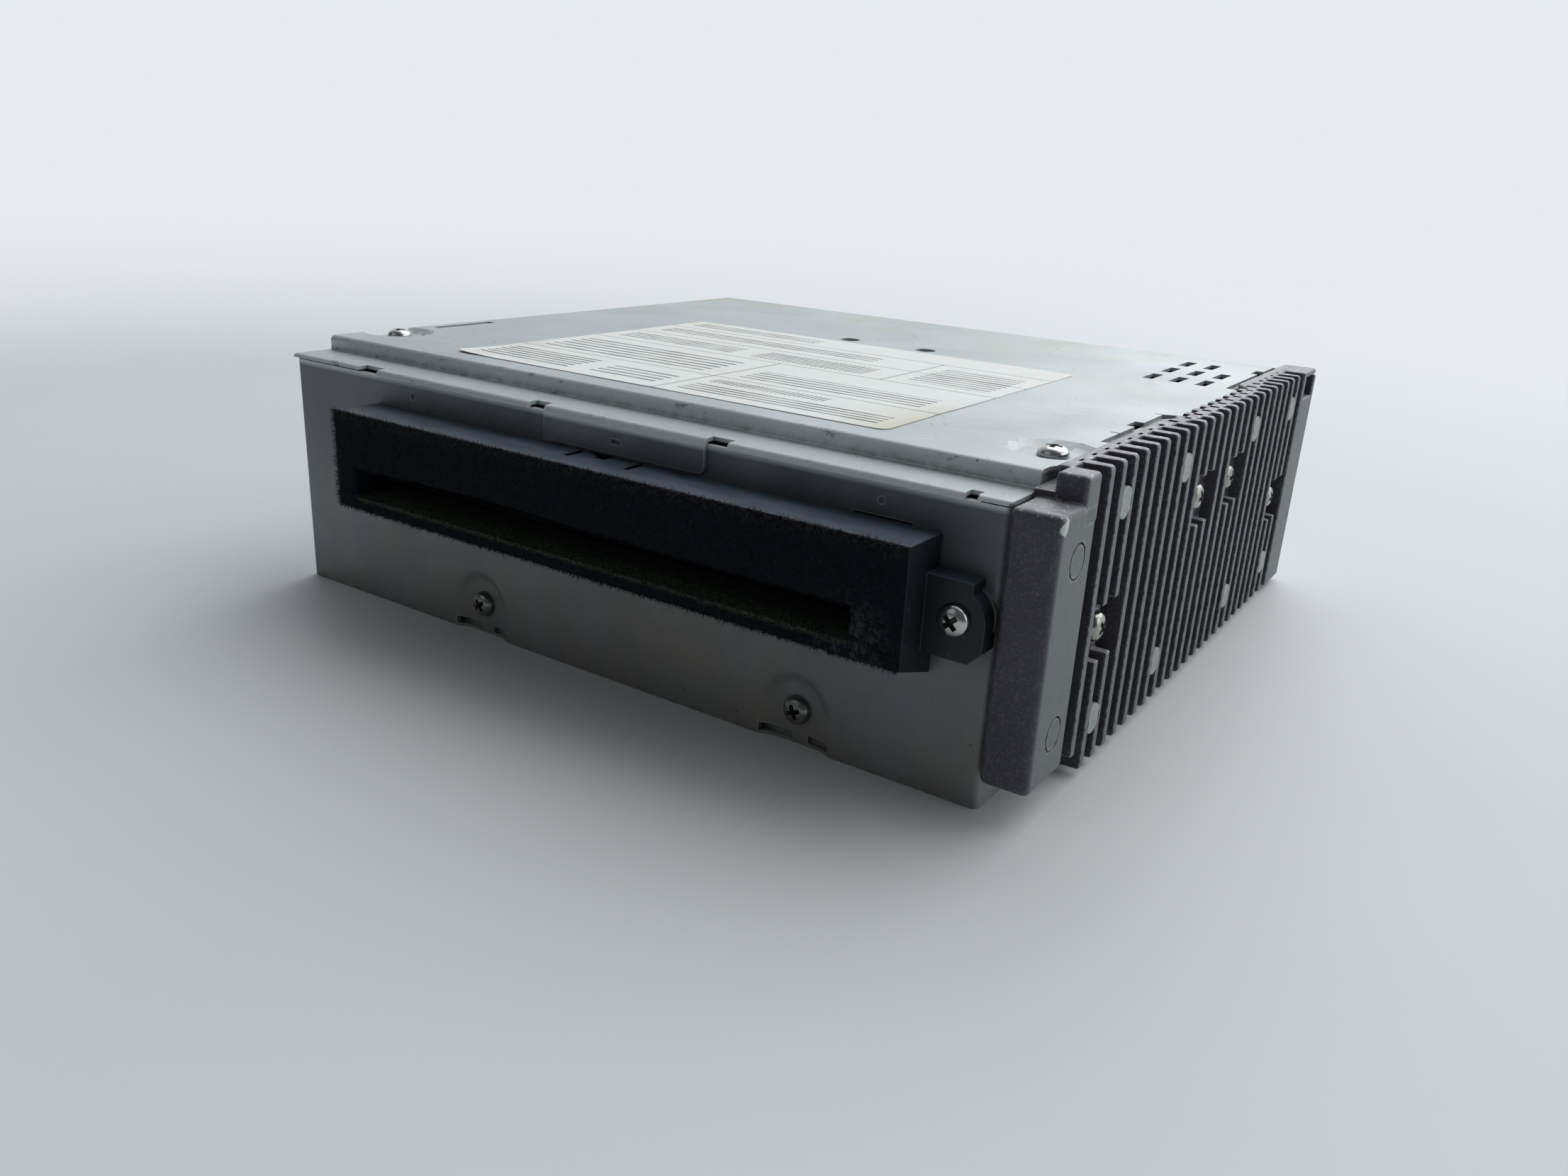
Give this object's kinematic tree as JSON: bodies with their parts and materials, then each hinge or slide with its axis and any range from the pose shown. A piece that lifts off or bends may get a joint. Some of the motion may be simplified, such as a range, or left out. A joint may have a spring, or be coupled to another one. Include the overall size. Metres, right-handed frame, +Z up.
{
  "type": "car cd player",
  "caption": "Slot-loading car disc player: bent steel case with a finned cast heat sink on its right side, felt-lined disc slot in front, and the loader and disc drive inside.",
  "frame": {"origin": "on the plane of the underside, below the middle of the whole box", "axes": "+X to the side of the heat sink, -Y out of the disc slot, +Z up through the cover"},
  "size_m": [0.1892, 0.187, 0.0584],
  "materials": {
    "zinc_steel": "zinc-plated, dull",
    "cast_heat_sink": "dark, as cast",
    "black_plastic": "satin, dusty",
    "black_felt": "felt",
    "aged_paper": "aged, matt",
    "nickel_screw": "nickel-plated",
    "green_board": "solder resist",
    "chip_epoxy": "moulded epoxy",
    "can_sleeve": "shrunk sleeve",
    "tin_plate": "tin-plated",
    "brass_pin": "plated",
    "amber_ribbon": "polyimide film",
    "bright_steel": "cold-rolled, plated",
    "shaft_steel": "ground",
    "soft_rubber": "matt",
    "roller_rubber": "matt, ground",
    "white_plastic": "self-coloured acetal",
    "lens_glass": "coated"
  },
  "bodies": {
    "chassis": {"aerial_sockets": "tin_plate", "amplifier_chips": "chip_epoxy", "arm_shaft": "shaft_steel", "bezel_screw": "nickel_screw", "board_screws": "nickel_screw", "bottom_pan": "zinc_steel", "capacitors": "can_sleeve", "case_walls": "zinc_steel", "chip_clamp": "bright_steel", "connector_pins": "brass_pin", "cover_screws": "nickel_screw", "damper_posts": "bright_steel", "damper_screws": "nickel_screw", "deck_bushes": "soft_rubber", "deck_screws": "nickel_screw", "drive_deck": "bright_steel", "feeler_screws": "nickel_screw", "frame_pins": "bright_steel", "front_screws": "nickel_screw", "gear_axles": "bright_steel", "guide_rod": "shaft_steel", "heat_sink": "cast_heat_sink", "heat_sink_screws": "nickel_screw", "loader_frame": "bright_steel", "loading_motor": "bright_steel", "main_board": "green_board", "motor_bracket": "bright_steel", "power_connector": "black_plastic", "processor_chip": "chip_epoxy", "product_label": "aged_paper", "rear_plate": "zinc_steel", "rear_screws": "nickel_screw", "ribbon_cable": "amber_ribbon", "rubber_dampers": "soft_rubber", "sled_motor": "bright_steel", "slot_bezel": "black_plastic", "slot_felt": "black_felt", "spindle_motor": "bright_steel", "top_cover": "zinc_steel", "tuner_can": "tin_plate", "upper_guide": "bright_steel"},
    "slider": {"mode_slider": "bright_steel"},
    "clamp_arm": {"clamp_arm": "bright_steel"},
    "clamper": {"clamper": "black_plastic"},
    "roller_arm": {"roller_arm": "bright_steel"},
    "roller": {"loading_roller": "roller_rubber", "roller_shaft": "shaft_steel", "roller_gear": "white_plastic"},
    "transfer_gear": {"transfer_gear": "white_plastic"},
    "reduction_gear": {"reduction_gear": "white_plastic"},
    "motor_rotor": {"motor_shaft": "shaft_steel", "motor_pinion": "brass_pin"},
    "spindle": {"turntable": "black_plastic", "spindle_shaft": "shaft_steel"},
    "sled": {"pickup_sled": "black_plastic"},
    "lead_screw": {"lead_screw": "shaft_steel"},
    "lens": {"lens_plate": "black_plastic", "objective_lens": "lens_glass"},
    "left_feeler": {"left_feeler": "white_plastic"},
    "right_feeler": {"right_feeler": "white_plastic"}
  },
  "joints": [
    {"name": "mode_slide", "type": "slide", "parent": "chassis", "child": "slider", "axis": [0, 1, 0], "range_m": [0, 0.008]},
    {"name": "clamp_arm_tilt", "type": "hinge", "parent": "chassis", "child": "clamp_arm", "pos_m": [0.0027, 0.0585, 0.043], "axis": [1, 0, 0], "range_deg": [0, 4.63]},
    {"name": "roller_arm_tilt", "type": "hinge", "parent": "chassis", "child": "roller_arm", "pos_m": [0.0027, -0.0415, 0.024], "axis": [1, 0, 0], "range_deg": [0, 6.71]},
    {"name": "roller_spin", "type": "hinge", "parent": "roller_arm", "child": "roller", "pos_m": [0.0027, -0.0715, 0.0275], "axis": [1, 0, 0], "continuous": true},
    {"name": "transfer_spin", "type": "hinge", "parent": "chassis", "child": "transfer_gear", "pos_m": [0.0714, -0.0715, 0.0375], "axis": [1, 0, 0], "continuous": true},
    {"name": "reduction_spin", "type": "hinge", "parent": "chassis", "child": "reduction_gear", "pos_m": [0.0694, -0.0675, 0.04443], "axis": [1, 0, 0], "continuous": true},
    {"name": "motor_spin", "type": "hinge", "parent": "chassis", "child": "motor_rotor", "pos_m": [0.0684, -0.05716, 0.04625], "axis": [1, 0, 0], "continuous": true},
    {"name": "spindle_spin", "type": "hinge", "parent": "chassis", "child": "spindle", "pos_m": [0.0027, -0.0035, 0.025], "axis": [0, 0, 1], "continuous": true},
    {"name": "clamper_spin", "type": "hinge", "parent": "clamp_arm", "child": "clamper", "pos_m": [0.0027, -0.0035, 0.038], "axis": [0, 0, 1], "continuous": true},
    {"name": "sled_slide", "type": "slide", "parent": "chassis", "child": "sled", "axis": [0, 1, 0], "range_m": [0, 0.034]},
    {"name": "lead_screw_turn", "type": "hinge", "parent": "chassis", "child": "lead_screw", "pos_m": [0.0207, 0.0285, 0.026], "axis": [0, 1, 0], "range_deg": [0, 3060.1]},
    {"name": "lens_focus", "type": "slide", "parent": "sled", "child": "lens", "axis": [0, 0, 1], "range_m": [-0.0005, 0.0005], "stiffness_N_per_m": 30},
    {"name": "left_feeler_swing", "type": "hinge", "parent": "chassis", "child": "left_feeler", "pos_m": [-0.0473, -0.0315, 0.0382], "axis": [0, 0, 1], "range_deg": [-12.5, 0], "stiffness_Nm_per_rad": 0.002},
    {"name": "right_feeler_swing", "type": "hinge", "parent": "chassis", "child": "right_feeler", "pos_m": [0.0527, -0.0315, 0.0382], "axis": [0, 0, 1], "range_deg": [0, 12.5], "stiffness_Nm_per_rad": 0.002}
  ],
  "couplings": [
    {"joint": "clamp_arm_tilt", "follows": "mode_slide", "rad_per_m": 10.079},
    {"joint": "roller_arm_tilt", "follows": "mode_slide", "rad_per_m": 14.617},
    {"joint": "transfer_spin", "follows": "roller_spin", "ratio": -1},
    {"joint": "reduction_spin", "follows": "roller_spin", "ratio": 1.6667},
    {"joint": "motor_spin", "follows": "roller_spin", "ratio": -5.3333},
    {"joint": "clamper_spin", "follows": "spindle_spin", "ratio": 1},
    {"joint": "lead_screw_turn", "follows": "sled_slide", "rad_per_m": 1570.8}
  ]
}
